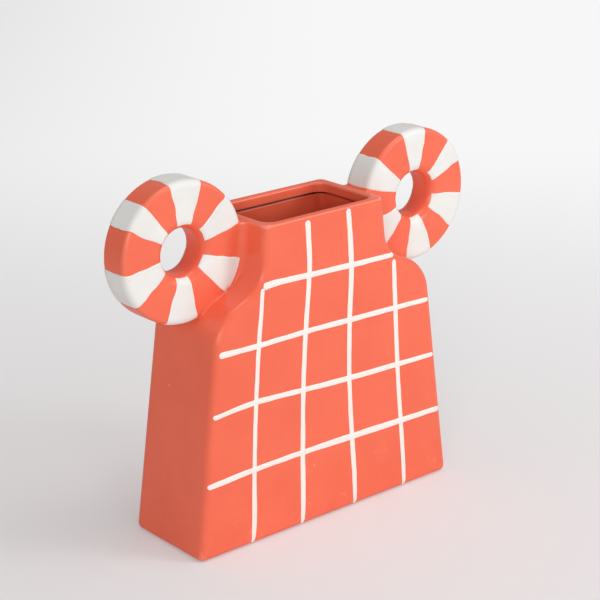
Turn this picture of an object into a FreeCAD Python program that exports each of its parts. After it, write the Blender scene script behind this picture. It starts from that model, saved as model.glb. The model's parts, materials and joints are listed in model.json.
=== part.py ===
import FreeCAD, Part
import Sketcher
import os

# Pillow vase: a hollow, slab-like earthenware vessel with a narrow neck and two round ring handles.
# Millimetres, +Z up. The origin is the middle of the foot, on the floor.
# +X runs along the wide side, and -Y is the front face.

doc = FreeCAD.newDocument("pillow_vase")

# The driving dimensions in millimetres, each written once.
DRIVING_SIZES = [
    ("base_width", 200.0, "foot, side to side"),
    ("base_depth", 64.5, "foot, front to back"),
    ("rim_width", 91.0, "mouth, outside, side to side"),
    ("rim_depth", 56.4, "mouth, outside, front to back"),
    ("shoulder_width", 163.6, "where side and shoulder would meet without their round"),
    ("shoulder_height", 141.4, "height of that meeting line"),
    ("shoulder_rise", 14.5, "from that line up to where shoulder and neck would meet without their hollow"),
    ("shoulder_radius", 25.0, "round of the shoulder"),
    ("neck_length", 35.1, "from there up to the rim"),
    ("neck_flare", 3.6, "how much each side of the neck spreads from the rim down to the shoulder"),
    ("neck_radius", 19.0, "hollow between shoulder and neck"),
    ("outline_radius", 5.5, "round along the outline of the front and back faces"),
    ("foot_radius", 4.0, "round around the foot"),
    ("wall_thickness", 3.2, "cast wall"),
    ("floor_thickness", 5.0, "cast floor"),
    ("inner_radius", 3.0, "rounds inside the hollow"),
    ("lip_thickness", 4.8, "thicker band around the inside of the mouth"),
    ("lip_height", 6.5, "height of that band"),
    ("mouth_corner_radius", 7.0, "upright corners of the mouth"),
    ("rim_radius", 1.4, "rounded edges of the rim"),
    ("ring_diameter", 82.8, "ring handle, outside"),
    ("ring_hole_diameter", 27.0, "hole through a ring handle"),
    ("ring_thickness", 20.0, "ring handle, front to back"),
    ("ring_gap", 2.1, "from the side of the mouth to the edge of a ring"),
    ("ring_drop", 11.0, "from the rim down to the middle of a ring"),
    ("ring_edge_radius", 3.2, "round of a ring's outer edges"),
    ("ring_hole_edge_radius", 6.0, "round of the hole's edges"),
    ("root_flare_radius", 5.0, "hollow where a ring's root meets the side of the neck"),
    ("root_overlap", 5.9, "how far a ring's root runs into the ring"),
    ("root_drop", 1.2, "from the rim down to the top of a root"),
    ("root_top_radius", 2.0, "rounded top edges of a root"),
    ("slip_thickness", 0.5, "coat of white slip"),
    ("stroke_width", 3.2, "white stroke of the grid"),
    ("stripe_inset", 2.7, "from the hole's wall to the inner end of a stripe"),
    ("overrun", 10.0, "how far a cutting tool runs past what it cuts"),
]

# Heights and places that follow, slopes of the outline, how much longer each slanted line is than its
# rise or run, and an angle.
DERIVED_SIZES = [
    ("neck_height", "=shoulder_height + shoulder_rise"),
    ("rim_height", "=neck_height + neck_length"),
    ("neck_width", "=rim_width + 2 * neck_flare"),
    ("ring_out", "=(rim_width + ring_diameter) / 2 + ring_gap"),
    ("ring_up", "=rim_height - ring_drop"),
    ("root_reach", "=ring_gap + root_overlap"),
    ("side_slope", "=(base_width - shoulder_width) / 2 / shoulder_height"),
    ("roof_slope", "=2 * (neck_height - shoulder_height) / (shoulder_width - neck_width)"),
    ("throat_slope", "=(neck_width - rim_width) / 2 / (rim_height - neck_height)"),
    ("side_stretch", "=sqrt(1 + side_slope ^ 2)"),
    ("roof_stretch", "=sqrt(1 + roof_slope ^ 2)"),
    ("throat_stretch", "=sqrt(1 + throat_slope ^ 2)"),
    ("lean", "=(base_depth - rim_depth) / 2"),
    ("throat_angle", "=atan(throat_slope)"),
]

# The white stripes of each ring, painted by hand: where each starts and ends, as shares of a whole
# turn from +X towards +Z.
LEFT_STRIPE_SHARES = [
    (0.197, 0.283),
    (0.039, 0.119),
    (-0.128, -0.042),
    (-0.303, -0.217),
    (-0.481, -0.394),
    (0.358, 0.422),
]
RIGHT_STRIPE_SHARES = [
    (0.219, 0.294),
    (0.064, 0.131),
    (-0.111, -0.022),
    (-0.281, -0.192),
    (-0.456, -0.367),
    (0.383, 0.458),
]

# The white strokes of the grid, each through its points in turn. Across is a share of half the width
# between the straight sides at that height, and up is a share of the neck's height.
CROSS_STROKE_SHARES = [
    [(-0.566, 1.001), (-0.172, 0.998), (0.235, 0.992), (0.650, 0.985)],
    [(-0.945, 0.788), (-0.626, 0.782), (0.201, 0.776), (0.966, 0.763)],
    [(-0.952, 0.562), (-0.631, 0.566), (0.183, 0.541), (0.972, 0.526)],
    [(-0.966, 0.298), (-0.221, 0.302), (0.186, 0.297), (0.970, 0.286)],
]
UPRIGHT_STROKE_SHARES = [
    [(-0.602, 0.998), (-0.626, 0.769), (-0.628, 0.546), (-0.620, 0.298), (-0.611, 0.013)],
    [(-0.190, 1.201), (-0.173, 1.023), (-0.206, 0.782), (-0.226, 0.554), (-0.226, 0.014)],
    [(0.213, 1.207), (0.235, 0.992), (0.201, 0.770), (0.183, 0.547), (0.198, 0.015)],
    [(0.659, 0.966), (0.643, 0.770), (0.626, 0.523), (0.611, 0.016)],
]

WHOLE_TURN = 360
AROUND_X = FreeCAD.Vector(1, 0, 0)
AROUND_Z = FreeCAD.Vector(0, 0, 1)
LIES_ALONG_Y = FreeCAD.Placement(FreeCAD.Vector(), FreeCAD.Rotation(AROUND_X, 90))

sheet = doc.addObject("Spreadsheet::Sheet", "Sizes")
SIZE_NAMES = []


def add_cell(alias, content, meaning=""):
    """Adds one named row to the sheet."""
    row = len(SIZE_NAMES) + 1
    sheet.set(f"A{row}", alias)
    sheet.set(f"B{row}", content)
    sheet.set(f"C{row}", meaning)
    sheet.setAlias(f"B{row}", alias)
    SIZE_NAMES.append(alias)


for alias, value, meaning in DRIVING_SIZES:
    add_cell(alias, str(value), meaning)
for alias, formula in DERIVED_SIZES:
    add_cell(alias, formula)
doc.recompute()


def cells(expression):
    """Points each size name of an expression at its cell. Names, signs and brackets stand apart."""
    return " ".join("Sizes." + word if word in SIZE_NAMES else word for word in expression.split())


def worth(expression):
    """Works out an expression of size names as a plain number."""
    value = sheet.evalExpression(cells(expression))
    return float(getattr(value, "Value", value))


def near(first, second):
    """True where two lengths differ by less than a tenth of the coat of slip."""
    return abs(first - second) < worth("slip_thickness") / 10


def origin_item(body, role):
    """The plane or axis of a body's own origin that has this role."""
    return next(item for item in body.Origin.OriginFeatures if item.Role == role)


def new_sketch(body, name, role):
    """Starts a sketch on one of a body's own origin planes."""
    sketch = body.newObject("Sketcher::SketchObject", name)
    sketch.AttachmentSupport = (origin_item(body, role), [""])
    sketch.MapMode = "FlatFace"
    return sketch


def bind_point(sketch, line, end, across, up):
    """Fixes an end of a line (1 its start, 2 its finish) by two expressions, from the origin."""
    for direction, expression in (("DistanceX", across), ("DistanceY", up)):
        constraint = Sketcher.Constraint(direction, -1, 1, line, end, worth(expression))
        number = sketch.addConstraint(constraint)
        sketch.setExpression(f"Constraints[{number}]", cells(expression))


def draw_path(sketch, corners, closed=True):
    """Draws straight lines from corner to corner, each corner a pair of expressions."""
    points = [FreeCAD.Vector(worth(across), worth(up), 0) for across, up in corners]
    first_line = sketch.GeometryCount
    for start, finish in zip(points, points[1:]):
        sketch.addGeometry(Part.LineSegment(start, finish), False)
    if closed:
        sketch.addGeometry(Part.LineSegment(points[-1], points[0]), False)
    last_line = sketch.GeometryCount - 1
    for line in range(first_line, last_line):
        sketch.addConstraint(Sketcher.Constraint("Coincident", line, 2, line + 1, 1))
    if closed:
        sketch.addConstraint(Sketcher.Constraint("Coincident", last_line, 2, first_line, 1))
    for line, corner in zip(range(first_line, last_line + 1), corners):
        bind_point(sketch, line, 1, *corner)
    if not closed:
        bind_point(sketch, last_line, 2, *corners[-1])


def rectangle(left, right, bottom, top):
    """The corners of an upright rectangle between four expressions."""
    return [(left, bottom), (right, bottom), (right, top), (left, top)]


def add_fillet(body, name, radius, wanted):
    """Rounds the edges of a body's last feature for which wanted(edge) is true."""
    doc.recompute()
    base = body.Tip
    names = [f"Edge{number}" for number, edge in enumerate(base.Shape.Edges, 1) if wanted(edge)]
    fillet = body.newObject("PartDesign::Fillet", name)
    fillet.Base = (base, names)
    fillet.setExpression("Radius", cells(radius))
    doc.recompute()


def place_at(thing, across, along, up):
    """Binds the place of an object to three expressions."""
    for axis, expression in zip("xyz", (across, along, up)):
        thing.setExpression("Placement.Base." + axis, cells(expression))


def combine(kind, name, base, tool):
    """Cuts a tool from a base (Part::Cut) or keeps what they share (Part::Common)."""
    result = doc.addObject(kind, name)
    result.Base = base
    result.Tool = tool
    return result


def fuse(name, pieces):
    """Joins several shapes into one."""
    result = doc.addObject("Part::MultiFuse", name)
    result.Shapes = pieces
    return result


# The body is one slab outline used three times: as the outside, as the hollow inside it, and as the
# outside of the white slip. Each is the outline moved inwards by its inset.


def add_outline_cells(slab, inset, low, high):
    """Names the corners of the front outline, moved inwards by inset, between two heights."""
    shoulder_up = f"({slab}_roof - roof_slope * {slab}_side) / (1 - roof_slope * side_slope)"
    neck_out = f"({slab}_throat - throat_slope * {slab}_roof) / (1 - throat_slope * roof_slope)"
    add_cell(f"{slab}_low", f"={low}")
    add_cell(f"{slab}_high", f"={high}")
    add_cell(f"{slab}_depth", f"=base_depth - 2 * ({inset})")
    add_cell(f"{slab}_side", f"=base_width / 2 - ({inset}) * side_stretch")
    add_cell(f"{slab}_roof", f"=shoulder_height + roof_slope * shoulder_width / 2 - ({inset}) * roof_stretch")
    add_cell(f"{slab}_throat", f"=neck_width / 2 + throat_slope * neck_height - ({inset}) * throat_stretch")
    add_cell(f"{slab}_shoulder_up", f"={shoulder_up}")
    add_cell(f"{slab}_shoulder_out", f"={slab}_side - side_slope * {slab}_shoulder_up")
    add_cell(f"{slab}_neck_out", f"={neck_out}")
    add_cell(f"{slab}_neck_up", f"={slab}_roof - roof_slope * {slab}_neck_out")
    add_cell(f"{slab}_low_out", f"={slab}_side - side_slope * {slab}_low")
    add_cell(f"{slab}_high_out", f"={slab}_throat - throat_slope * {slab}_high")
    doc.recompute()


def runs_across(edge, out):
    """True for an edge that runs from the front face to the back, at a distance out from the middle."""
    first, second = (vertex.Point for vertex in edge.Vertexes)
    return near(abs(first.x), worth(out)) and near(first.x, second.x) and not near(first.y, second.y)


def lies_on_face(edge):
    """True for an edge that stays on the front face or on the back face."""
    first, second = (vertex.Point for vertex in edge.Vertexes)
    return first.y * second.y > 0 and min(abs(first.y), abs(second.y)) > worth("rim_depth / 4")


def lies_at(edge, *heights):
    """True for an edge whose ends are both at one of the heights."""
    return any(all(near(vertex.Z, worth(height)) for vertex in edge.Vertexes) for height in heights)


def make_slab(slab, inset, low, high):
    """A slab with the vase's front outline, moved inwards by inset, whose broad faces lean in."""
    add_outline_cells(slab, inset, low, high)
    body = doc.addObject("PartDesign::Body", f"{slab}_slab")
    outline = new_sketch(body, f"{slab}_outline", "XZ_Plane")
    right = [
        (f"{slab}_low_out", f"{slab}_low"),
        (f"{slab}_shoulder_out", f"{slab}_shoulder_up"),
        (f"{slab}_neck_out", f"{slab}_neck_up"),
        (f"{slab}_high_out", f"{slab}_high"),
    ]
    draw_path(outline, right + [(f"0 - {across}", up) for across, up in reversed(right)])
    pad = body.newObject("PartDesign::Pad", f"{slab}_pad")
    pad.Profile = outline
    pad.SideType = "Symmetric"
    pad.setExpression("Length", cells(f"{slab}_depth"))

    # Seen from the side, a wedge comes off each broad face, so that the faces lean towards the rim.
    side_view = new_sketch(body, f"{slab}_side_view", "YZ_Plane")
    wedge = [
        (f"{slab}_depth / 2", "0"),
        (f"{slab}_depth / 2 + overrun", "rim_height"),
        (f"{slab}_depth / 2 - lean", "rim_height"),
    ]
    draw_path(side_view, wedge)
    draw_path(side_view, [(f"0 - ( {across} )", up) for across, up in wedge])
    trim = body.newObject("PartDesign::Pocket", f"{slab}_trim")
    trim.Profile = side_view
    trim.SideType = "Symmetric"
    trim.Type = "ThroughAll"

    shoulder = f"{slab}_shoulder_out"
    neck = f"{slab}_neck_out"
    round_radius = f"shoulder_radius - ( {inset} )"
    hollow_radius = f"neck_radius + ( {inset} )"
    add_fillet(body, f"{slab}_shoulder_round", round_radius, lambda edge: runs_across(edge, shoulder))
    add_fillet(body, f"{slab}_neck_hollow", hollow_radius, lambda edge: runs_across(edge, neck))
    return body


def round_outside(body, slab, radius):
    """Rounds the outline of both broad faces, and then the foot."""
    low = f"{slab}_low"
    high = f"{slab}_high"

    def is_outline(edge):
        return lies_on_face(edge) and not lies_at(edge, low, high)

    add_fillet(body, f"{slab}_edges", radius, is_outline)
    add_fillet(body, f"{slab}_foot", "foot_radius", lambda edge: lies_at(edge, low))


def make_vase(outer):
    """The cast body: the outer slab less its hollow and its mouth, with a rounded rim."""
    hollow = make_slab("hollow", "wall_thickness", "floor_thickness", "rim_height - lip_height")
    add_fillet(
        hollow,
        "hollow_edges",
        "inner_radius",
        lambda edge: lies_on_face(edge) or lies_at(edge, "hollow_low", "hollow_high"),
    )

    mouth = doc.addObject("PartDesign::Body", "mouth_tool")
    plan = new_sketch(mouth, "mouth_plan", "XY_Plane")
    half_width = "( rim_width / 2 - lip_thickness )"
    half_depth = "( rim_depth / 2 - lip_thickness )"
    draw_path(plan, rectangle(f"0 - {half_width}", half_width, f"0 - {half_depth}", half_depth))
    pad = mouth.newObject("PartDesign::Pad", "mouth_pad")
    pad.Profile = plan
    pad.setExpression("Length", cells("lip_height + inner_radius + overrun"))
    place_at(mouth, "0", "0", "rim_height - lip_height - inner_radius")
    add_fillet(
        mouth,
        "mouth_corners",
        "mouth_corner_radius",
        lambda edge: not near(edge.Vertexes[0].Z, edge.Vertexes[1].Z),
    )

    hollowed = combine("Part::Cut", "hollowed_slab", outer, fuse("inside", [hollow, mouth]))
    doc.recompute()
    vase = doc.addObject("PartDesign::Body", "vase_body")
    vase.BaseFeature = hollowed
    add_fillet(vase, "rim_round", "rim_radius", lambda edge: lies_at(edge, "rim_height"))
    return vase


def is_circle(edge, between_radii):
    """True for a whole circle whose radius lies between two values."""
    if not edge.Closed or edge.Curve.TypeId != "Part::GeomCircle":
        return False
    smallest, largest = between_radii
    return smallest < edge.Curve.Radius < largest


def make_disc(name, coat):
    """A ring of rounded rectangular section under a coat. Its axis runs front to back."""
    disc = doc.addObject("PartDesign::Body", name)
    section = new_sketch(disc, name + "_section", "XY_Plane")
    bore = f"ring_hole_diameter / 2 - {coat}"
    outside = f"ring_diameter / 2 + {coat}"
    half = f"ring_thickness / 2 + {coat}"
    draw_path(section, rectangle(bore, outside, f"0 - ( {half} )", half))
    turn = disc.newObject("PartDesign::Revolution", name + "_turn")
    turn.Profile = section
    turn.ReferenceAxis = (section, ["V_Axis"])
    turn.Angle = WHOLE_TURN
    middle = worth("( ring_hole_diameter + ring_diameter ) / 4")
    rim = (middle, 2 * worth(outside))
    hole = (0, middle)
    add_fillet(disc, name + "_rim", f"ring_edge_radius + {coat}", lambda edge: is_circle(edge, rim))
    add_fillet(disc, name + "_hole", f"ring_hole_edge_radius + {coat}", lambda edge: is_circle(edge, hole))
    place_at(disc, "ring_out", "0", "ring_up")
    return disc


def make_root(name, coat):
    """The web that carries the right ring on the side of the neck, under a coat front and back.

    Its plan is a T drawn at its top end, with the side of the neck as the sketch's upright axis.
    From there it runs down along the leaning neck until it is buried in the shoulder, and a flare
    leads it into the neck.
    """
    root = doc.addObject("PartDesign::Body", name)
    plan = new_sketch(root, name + "_plan", "XY_Plane")
    inside = "0 - wall_thickness"
    half_web = f"ring_thickness / 2 + {coat}"
    half_plate = "ring_thickness / 2 + 2 * root_flare_radius"
    front_half = [
        (inside, half_plate),
        ("0", half_plate),
        ("0", half_web),
        ("root_reach", half_web),
    ]
    draw_path(plan, [(out, f"0 - ( {along} )") for out, along in front_half] + front_half[::-1])
    pad = root.newObject("PartDesign::Pad", name + "_pad")
    pad.Profile = plan
    pad.Reversed = True
    pad.setExpression("Length", cells("rim_height - root_drop - ( shoulder_height + neck_height ) / 2"))

    def is_inner_corner(edge):
        return all(near(vertex.X, 0) and near(abs(vertex.Y), worth(half_web)) for vertex in edge.Vertexes)

    def is_top_side(edge):
        first, second = (vertex.Point for vertex in edge.Vertexes)
        at_top = near(first.z, 0) and near(second.z, 0)
        at_side = first.y * second.y > 0 and min(abs(first.y), abs(second.y)) > worth("ring_thickness / 4")
        return at_top and at_side and max(first.x, second.x) > worth("slip_thickness")

    add_fillet(root, name + "_flare", f"root_flare_radius - {coat}", is_inner_corner)
    add_fillet(root, name + "_top", "root_top_radius", is_top_side)

    # The neck's side leans in as it rises, and the root leans with it.
    root.Placement = FreeCAD.Placement(FreeCAD.Vector(), FreeCAD.Rotation(FreeCAD.Vector(0, -1, 0), 1))
    root.setExpression("Placement.Rotation.Angle", cells("throat_angle"))
    place_at(root, "outer_throat - throat_slope * ( rim_height - root_drop )", "0", "rim_height - root_drop")
    return root


def mirrored(name, source):
    """The same shape on the other side of the vase."""
    mirror = doc.addObject("Part::Mirroring", name)
    mirror.Source = source
    mirror.Normal = FreeCAD.Vector(1, 0, 0)
    return mirror


def make_ring_cylinder(name, side, radius):
    """A cylinder along a ring's axis, past both its faces. Side is 1 for the right ring, or -1."""
    cylinder = doc.addObject("Part::Cylinder", name)
    cylinder.Placement = LIES_ALONG_Y
    cylinder.setExpression("Radius", cells(radius))
    cylinder.setExpression("Height", cells("ring_thickness + 2 * overrun"))
    place_at(cylinder, f"{side} * ring_out", "ring_thickness / 2 + overrun", "ring_up")
    return cylinder


def make_stripes(name, side, skin, shares):
    """Cuts a ring's skin of slip into stripes, one slice of pie for each."""
    stripes = []
    for number, (start_share, end_share) in enumerate(shares, 1):
        pie = make_ring_cylinder(f"{name}_pie_{number}", side, "ring_diameter / 2 + slip_thickness")
        pie.Angle = WHOLE_TURN * (end_share - start_share)
        start_turn = FreeCAD.Rotation(AROUND_Z, WHOLE_TURN * start_share)
        pie.Placement.Rotation = LIES_ALONG_Y.Rotation.multiply(start_turn)
        stripes.append(combine("Part::Common", f"{name}_stripe_{number}", skin, pie))
    return stripes


def make_stroke_tool(name, shares):
    """A band along a hand-drawn path, as wide as the brush, that reaches the front face alone."""
    path = doc.addObject("Sketcher::SketchObject", name + "_path")
    path.Placement = LIES_ALONG_Y
    place_at(path, "0", "outline_radius - rim_depth / 2", "0")
    corners = []
    for across_share, up_share in shares:
        up = f"{up_share} * neck_height"
        corners.append((f"{across_share} * ( base_width / 2 - side_slope * {up} )", up))
    draw_path(path, corners, closed=False)
    band = doc.addObject("Part::Offset2D", name + "_band")
    band.Source = path
    band.Mode = "Pipe"
    band.Join = "Intersection"
    band.Fill = True
    band.setExpression("Value", cells("stroke_width / 2"))
    tool = doc.addObject("Part::Extrusion", name + "_tool")
    tool.Base = band
    tool.DirMode = "Custom"
    tool.Dir = FreeCAD.Vector(0, -1, 0)
    tool.Solid = True
    tool.setExpression("LengthFwd", cells("base_depth / 2 + overrun"))
    return tool


def make_grid(skin):
    """The white grid: four strokes across the front face, and four upright ones between them."""
    crosses = []
    for number, shares in enumerate(CROSS_STROKE_SHARES, 1):
        tool = make_stroke_tool(f"cross_{number}", shares)
        crosses.append(combine("Part::Common", f"front_cross_stroke_{number}", skin, tool))
    all_crosses = fuse("all_cross_strokes", crosses)
    uprights = []
    for number, shares in enumerate(UPRIGHT_STROKE_SHARES, 1):
        tool = make_stroke_tool(f"upright_{number}", shares)
        whole = combine("Part::Common", f"upright_{number}_whole", skin, tool)
        uprights.append(combine("Part::Cut", f"front_upright_stroke_{number}", whole, all_crosses))
    return crosses + uprights


def turned_to_back(strokes):
    """The same strokes on the back face, turned about the vase's upright axis."""
    copies = []
    for stroke in strokes:
        copy = doc.addObject("Part::Compound", stroke.Name.replace("front", "back"))
        copy.Links = [stroke]
        copy.Placement.Rotation = FreeCAD.Rotation(AROUND_Z, 180)
        copies.append(copy)
    return copies


outer = make_slab("outer", "0", "0", "rim_height")
round_outside(outer, "outer", "outline_radius")
vase = make_vase(outer)

# A ring and its root are one piece, seated on the neck and the shoulder.
ring_blank = fuse("ring_blank", [make_disc("disc", "0"), make_root("root", "0")])
right_ring = combine("Part::Cut", "right_ring", ring_blank, outer)
left_ring = mirrored("left_ring", right_ring)

# White slip lies on a ring and its root, but not down the hole.
plug = make_ring_cylinder("plug", 1, "ring_hole_diameter / 2 + stripe_inset")
bare = fuse("bare", [right_ring, outer, plug])
coats = [make_disc("disc_coat", "slip_thickness"), make_root("root_coat", "slip_thickness")]
coated_ring = fuse("coated_ring", coats)
right_skin = combine("Part::Cut", "right_skin", coated_ring, bare)
left_skin = mirrored("left_skin", right_skin)
stripes = make_stripes("left_ring", -1, left_skin, LEFT_STRIPE_SHARES)
stripes += make_stripes("right_ring", 1, right_skin, RIGHT_STRIPE_SHARES)

slip = make_slab("slip", "0 - slip_thickness", "0", "rim_height")
round_outside(slip, "slip", "outline_radius + slip_thickness")
front_strokes = make_grid(combine("Part::Cut", "face_skin", slip, outer))

nodes = [vase, left_ring, right_ring] + stripes + front_strokes + turned_to_back(front_strokes)
doc.recompute()

for thing in doc.Objects:
    if "Invalid" in thing.State or "Error" in thing.State:
        raise RuntimeError(f"{thing.Name} failed: {thing.State}")
for node in nodes:
    node.Label = node.Name
    shape = node.Shape
    if shape.isNull() or not shape.isValid() or not shape.Solids:
        raise RuntimeError(f"{node.Name} has no valid solid")

os.makedirs("parts", exist_ok=True)
for node in nodes:
    node.Shape.exportStep(f"parts/{node.Label}.step")
    print(f"{node.Label}: {len(node.Shape.Solids)} solids, {node.Shape.Volume:.1f} mm3")
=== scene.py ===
# %% [markdown]
# # A pillow vase with ring handles
#
# The vase is one fired piece of coral earthenware: a flattened hollow body, a short wide neck and
# two thick rings beside the neck. White slip is painted on it with a brush, as a loose grid on
# both broad faces and as spokes on the rings. This lesson models the clay with bmesh operators,
# joins it the way a potter does, lays each brush stroke on the finished clay and lights it in a
# small white studio.
#
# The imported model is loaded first. It gives the size and place of everything, and each finished
# piece here stands for one or more of its nodes.

# %% Load the frame
import json
import math

import bmesh
import bpy
from mathutils import Matrix, Vector, noise

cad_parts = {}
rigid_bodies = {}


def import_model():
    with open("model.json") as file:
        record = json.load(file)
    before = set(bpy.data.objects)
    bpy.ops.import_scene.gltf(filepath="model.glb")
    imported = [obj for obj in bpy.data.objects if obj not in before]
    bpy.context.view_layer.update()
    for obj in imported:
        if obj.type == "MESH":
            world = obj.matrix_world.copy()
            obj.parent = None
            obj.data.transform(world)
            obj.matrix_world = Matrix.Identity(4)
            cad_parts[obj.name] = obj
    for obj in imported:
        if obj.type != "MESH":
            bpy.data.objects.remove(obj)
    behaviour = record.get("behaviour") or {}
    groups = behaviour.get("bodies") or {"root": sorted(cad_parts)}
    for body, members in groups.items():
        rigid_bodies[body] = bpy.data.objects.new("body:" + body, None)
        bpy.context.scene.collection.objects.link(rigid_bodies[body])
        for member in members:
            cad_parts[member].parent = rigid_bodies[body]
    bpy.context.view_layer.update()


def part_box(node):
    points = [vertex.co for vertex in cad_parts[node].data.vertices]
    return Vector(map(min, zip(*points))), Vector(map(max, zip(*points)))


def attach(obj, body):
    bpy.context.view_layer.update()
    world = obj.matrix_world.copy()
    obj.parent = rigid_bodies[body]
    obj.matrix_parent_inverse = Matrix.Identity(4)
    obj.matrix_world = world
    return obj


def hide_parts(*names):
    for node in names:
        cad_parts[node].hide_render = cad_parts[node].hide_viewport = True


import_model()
MM = 0.001

# %% [markdown]
# ## Camera
#
# The camera comes first, so that every later choice can be judged through it. It looks at the vase
# from its left front, a little from above, through a long lens. A long lens keeps the upright
# edges of a product nearly parallel, which is why catalogues use one. The place of the camera is
# worked out from two angles and a distance round a target inside the vase.

# %% Camera
CAMERA_AZIMUTH = math.radians(40.66)
CAMERA_ELEVATION = math.radians(19.23)
CAMERA_ROLL = math.radians(-0.24)
CAMERA_DISTANCE = 1078.3 * MM
CAMERA_TARGET = Vector((3.76, 0, 128.73)) * MM
LENS = 108.2
SENSOR = 36


def camera_turn():
    """The camera's turn: tipped down to its elevation, then swung round to its azimuth."""
    swing = Matrix.Rotation(-CAMERA_AZIMUTH, 4, "Z")
    tip = Matrix.Rotation(math.pi / 2 - CAMERA_ELEVATION, 4, "X")
    roll = Matrix.Rotation(CAMERA_ROLL, 4, "Z")
    return swing @ tip @ roll


camera_data = bpy.data.cameras.new("camera")
camera_data.lens = LENS
camera_data.sensor_width = SENSOR
camera = bpy.data.objects.new("camera", camera_data)
bpy.context.scene.collection.objects.link(camera)
step_back = camera_turn() @ Vector((0, 0, CAMERA_DISTANCE))
camera.matrix_world = Matrix.Translation(CAMERA_TARGET + step_back) @ camera_turn()
bpy.context.scene.camera = camera
bpy.context.scene.view_settings.view_transform = "Standard"
print("camera at", [round(v, 3) for v in camera.matrix_world.translation])

# %% [markdown]
# ## Sizes
#
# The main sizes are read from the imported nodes. What a box can't tell, such as the height of the
# shoulder or the radius of a round, is named here in millimetres. The rings are measured by their
# stripes, which lie on them as a coat of even thickness.

# %% Sizes of the body
_, BODY_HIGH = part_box("vase_body")
BASE_HALF = BODY_HIGH.x
RIM_HEIGHT = BODY_HIGH.z
FOOT_HALF_DEPTH = 32.25 * MM
RIM_HALF_DEPTH = 28.2 * MM
SHOULDER = Vector((81.8, 141.4)) * MM
NECK = Vector((49.1, 155.9)) * MM
RIM_HALF = 45.5 * MM
SHOULDER_RADIUS = 25 * MM
NECK_RADIUS = 19 * MM
OUTLINE_RADIUS = 4.2 * MM
FOOT_RADIUS = 4 * MM
WALL = 3.2 * MM
FLOOR_THICKNESS = 5 * MM
LIP_THICKNESS = 4.8 * MM
LIP_HEIGHT = 6.5 * MM
UNDER_LIP = RIM_HEIGHT - LIP_HEIGHT
MOUTH_CORNER_RADIUS = 7 * MM
RIM_RADIUS = 1.4 * MM
INNER_RADIUS = 3 * MM
GROOVE_DEPTH = 1.2 * MM
GROOVE_HEIGHT = 1.8 * MM
print("foot", round(2 * BASE_HALF / MM, 1), "rim height", round(RIM_HEIGHT / MM, 1))

# %% Sizes of the rings
SLIP = 0.5 * MM
_, STRIPE_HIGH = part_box("right_ring_stripe_1")
RING_LOW, RING_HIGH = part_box("right_ring")
RING_HALF_THICKNESS = STRIPE_HIGH.y - SLIP
RING_RADIUS = (RING_HIGH.z - RING_LOW.z) / 2
RING_CENTRE = Vector((RING_HIGH.x - RING_RADIUS, 0, RING_HIGH.z - RING_RADIUS))
HOLE_RADIUS = 13.5 * MM
RING_EDGE_RADIUS = 2.8 * MM
HOLE_EDGE_RADIUS = 6 * MM
ROOT_REACH = 8 * MM
ROOT_FLARE = 5 * MM
ROOT_DROP = 1.2 * MM
print("ring radius", round(RING_RADIUS / MM, 2), "centre", [round(v / MM, 2) for v in RING_CENTRE])
print("ring half thickness", round(RING_HALF_THICKNESS / MM, 2))

# %% [markdown]
# ## Helpers for bmesh
#
# Each solid starts as one flat face whose corners are typed, because a face is the smallest thing
# that an operator can pull into a solid. Extrude gives it depth and bevel gives it rounds. Bevel
# wants the distance that it cuts back along a face and not a radius, so a small function turns one
# into the other. The bmesh operators don't share the editor's defaults: a round needs its own
# segments and a profile of 0.5, which is a circle.

# %% Helpers for bmesh
ROUND_SEGMENTS = 8


def face_of(mesh, corners):
    """One flat face through a few corners."""
    return mesh.faces.new([mesh.verts.new(corner) for corner in corners])


def extruded(mesh, face, along):
    """Pulls a face along a vector into a closed solid."""
    pulled = bmesh.ops.extrude_face_region(mesh, geom=[face], use_keep_orig=True)["geom"]
    verts = [item for item in pulled if isinstance(item, bmesh.types.BMVert)]
    bmesh.ops.translate(mesh, verts=verts, vec=along)
    bmesh.ops.recalc_face_normals(mesh, faces=mesh.faces)


def bevelled(mesh, parts, offset, segments, affect="EDGES", clamp=False):
    """Rounds edges or corners, which are cut back by an offset along each face."""
    bmesh.ops.bevel(
        mesh,
        geom=parts,
        offset=offset,
        offset_type="OFFSET",
        affect=affect,
        segments=segments,
        profile=0.5,
        material=-1,
        clamp_overlap=clamp,
    )


def cut_back(edge, radius):
    """How far bevel has to cut back along each face for a round of this radius on an edge."""
    return radius * math.tan(edge.calc_face_angle() / 2)


def rounded(mesh, edges, radius, segments=ROUND_SEGMENTS):
    """Rounds edges, grouped by how sharply they turn, so that each gets the same radius."""
    groups = {}
    for edge in edges:
        groups.setdefault(round(cut_back(edge, radius) / MM, 3), []).append(edge)
    for offset, group in groups.items():
        bevelled(mesh, group, offset * MM, segments, clamp=True)


def finished_object(mesh, name):
    """Turns a bmesh into an object in the scene, at the origin, unturned and unscaled."""
    data = bpy.data.meshes.new(name)
    mesh.to_mesh(data)
    mesh.free()
    thing = bpy.data.objects.new(name, data)
    bpy.context.scene.collection.objects.link(thing)
    return thing


# %% [markdown]
# ## The outline of the body
#
# Seen from the front, the body is a slab whose sides lean in towards round shoulders, with a
# hollow curve from each shoulder into the neck. The hollow inside has the same outline, moved
# inwards by the wall. Moving a corner inwards by the same distance from both of its lines is one
# small sum, and it lets one function draw both.

# %% Outline
def moved_in(before, corner, after, inset):
    """A corner of an outline, moved in from the line before it and the line after it."""
    first = (corner - before).normalized()
    second = (after - corner).normalized()
    first_in = Vector((-first.y, first.x))
    second_in = Vector((-second.y, second.x))
    return corner + (first_in + second_in) * inset / (1 + first_in.dot(second_in))


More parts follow.
